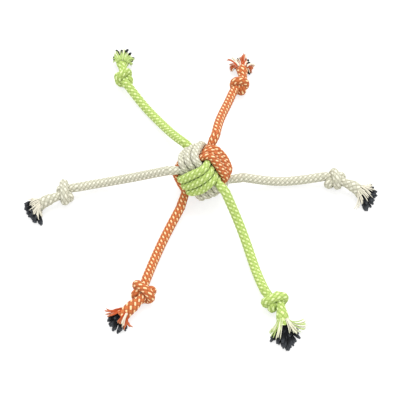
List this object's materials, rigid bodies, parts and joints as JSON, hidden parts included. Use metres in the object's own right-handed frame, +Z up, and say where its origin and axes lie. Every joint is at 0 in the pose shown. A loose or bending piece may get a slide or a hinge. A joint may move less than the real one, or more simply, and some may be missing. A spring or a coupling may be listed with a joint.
{
  "type": "rope dog toy",
  "caption": "Rope tug toy: a ball of three interwoven cotton ropes with legs that each end in an overhand knot and a frayed tuft.",
  "frame": {"origin": "middle of the underside of the whole toy as it lies, about under the ball", "axes": "+Z up from the floor the toy lies on, +X to the right and +Y to the back as the picture sees it"},
  "size_m": [0.445, 0.4278, 0.0756],
  "materials": {
    "green_cotton": "matt braided cotton",
    "orange_cotton": "matt braided cotton",
    "beige_cotton": "matt braided cotton",
    "core_yarn": "soft twisted yarn",
    "core_filler": "packed cotton waste"
  },
  "bodies": {
    "ball": {"green_fist_winding": "green_cotton", "orange_fist_winding": "orange_cotton", "beige_fist_winding": "beige_cotton", "fist_core": "core_filler", "green_back_left_root": "green_cotton", "green_front_right_root": "green_cotton", "orange_front_left_root": "orange_cotton", "orange_back_root": "orange_cotton", "beige_right_root": "beige_cotton", "beige_left_root": "beige_cotton"},
    "green_back_left_inner": {"green_back_left_inner_stretch": "green_cotton", "green_back_left_bend": "green_cotton"},
    "green_back_left_outer": {"green_back_left_outer_stretch": "green_cotton", "green_back_left_knot": "green_cotton", "green_back_left_tail_cover": "green_cotton", "green_back_left_cover_yarns": "green_cotton", "green_back_left_core_yarns": "core_yarn"},
    "green_front_right_inner": {"green_front_right_inner_stretch": "green_cotton", "green_front_right_bend": "green_cotton"},
    "green_front_right_outer": {"green_front_right_outer_stretch": "green_cotton", "green_front_right_knot": "green_cotton", "green_front_right_tail_cover": "green_cotton", "green_front_right_cover_yarns": "green_cotton", "green_front_right_core_yarns": "core_yarn"},
    "orange_front_left_inner": {"orange_front_left_inner_stretch": "orange_cotton", "orange_front_left_bend": "orange_cotton"},
    "orange_front_left_outer": {"orange_front_left_outer_stretch": "orange_cotton", "orange_front_left_knot": "orange_cotton", "orange_front_left_tail_cover": "orange_cotton", "orange_front_left_cover_yarns": "orange_cotton", "orange_front_left_core_yarns": "core_yarn"},
    "orange_back_inner": {"orange_back_inner_stretch": "orange_cotton", "orange_back_bend": "orange_cotton"},
    "orange_back_outer": {"orange_back_outer_stretch": "orange_cotton", "orange_back_knot": "orange_cotton", "orange_back_tail_cover": "orange_cotton", "orange_back_cover_yarns": "orange_cotton", "orange_back_core_yarns": "core_yarn"},
    "beige_right_inner": {"beige_right_inner_stretch": "beige_cotton", "beige_right_bend": "beige_cotton"},
    "beige_right_outer": {"beige_right_outer_stretch": "beige_cotton", "beige_right_knot": "beige_cotton", "beige_right_tail_cover": "beige_cotton", "beige_right_cover_yarns": "beige_cotton", "beige_right_core_yarns": "core_yarn"},
    "beige_left_inner": {"beige_left_inner_stretch": "beige_cotton", "beige_left_bend": "beige_cotton"},
    "beige_left_outer": {"beige_left_outer_stretch": "beige_cotton", "beige_left_knot": "beige_cotton", "beige_left_tail_cover": "beige_cotton", "beige_left_cover_yarns": "beige_cotton", "beige_left_core_yarns": "core_yarn"}
  },
  "joints": [
    {"name": "green_back_left_swing", "type": "hinge", "parent": "ball", "child": "green_back_left_inner", "pos_m": [-0.02741, 0.0561, 0.0252], "axis": [0, 0, 1], "range_deg": [-22, 22], "deforming": ["green_back_left_root"]},
    {"name": "green_back_left_curl", "type": "hinge", "parent": "green_back_left_inner", "child": "green_back_left_outer", "pos_m": [-0.05988, 0.10557, 0.00596], "axis": [0.7789, 0.6272, 0], "range_deg": [0, 75], "deforming": ["green_back_left_bend"]},
    {"name": "green_front_right_swing", "type": "hinge", "parent": "ball", "child": "green_front_right_inner", "pos_m": [0.03623, -0.04563, 0.04072], "axis": [0, 0, 1], "range_deg": [-22, 22], "deforming": ["green_front_right_root"]},
    {"name": "green_front_right_curl", "type": "hinge", "parent": "green_front_right_inner", "child": "green_front_right_outer", "pos_m": [0.05995, -0.09702, 0.00754], "axis": [-0.9671, -0.2545, 0], "range_deg": [0, 75], "deforming": ["green_front_right_bend"]},
    {"name": "orange_front_left_swing", "type": "hinge", "parent": "ball", "child": "orange_front_left_inner", "pos_m": [-0.03002, -0.04881, 0.00971], "axis": [0, 0, 1], "range_deg": [-22, 22], "deforming": ["orange_front_left_root"]},
    {"name": "orange_front_left_curl", "type": "hinge", "parent": "orange_front_left_inner", "child": "orange_front_left_outer", "pos_m": [-0.05108, -0.09322, 0.00414], "axis": [-0.9404, 0.3401, 0], "range_deg": [0, 75], "deforming": ["orange_front_left_bend"]},
    {"name": "orange_back_swing", "type": "hinge", "parent": "ball", "child": "orange_back_inner", "pos_m": [0.02094, 0.04939, 0.05907], "axis": [0, 0, 1], "range_deg": [-22, 22], "deforming": ["orange_back_root"]},
    {"name": "orange_back_curl", "type": "hinge", "parent": "orange_back_inner", "child": "orange_back_outer", "pos_m": [0.03014, 0.09408, 0.03524], "axis": [0.964, -0.2659, 0], "range_deg": [0, 75], "deforming": ["orange_back_bend"]},
    {"name": "beige_right_swing", "type": "hinge", "parent": "ball", "child": "beige_right_inner", "pos_m": [0.06533, 0.00198, 0.0174], "axis": [0, 0, 1], "range_deg": [-22, 22], "deforming": ["beige_right_root"]},
    {"name": "beige_right_curl", "type": "hinge", "parent": "beige_right_inner", "child": "beige_right_outer", "pos_m": [0.10899, 0.00379, 0.00503], "axis": [0.0599, -0.9982, 0], "range_deg": [0, 75], "deforming": ["beige_right_bend"]},
    {"name": "beige_left_swing", "type": "hinge", "parent": "ball", "child": "beige_left_inner", "pos_m": [-0.05139, -0.00751, 0.04717], "axis": [0, 0, 1], "range_deg": [-22, 22], "deforming": ["beige_left_root"]},
    {"name": "beige_left_curl", "type": "hinge", "parent": "beige_left_inner", "child": "beige_left_outer", "pos_m": [-0.10303, 0.00065, 0.01599], "axis": [0.1571, 0.9876, 0], "range_deg": [0, 75], "deforming": ["beige_left_bend"]}
  ]
}
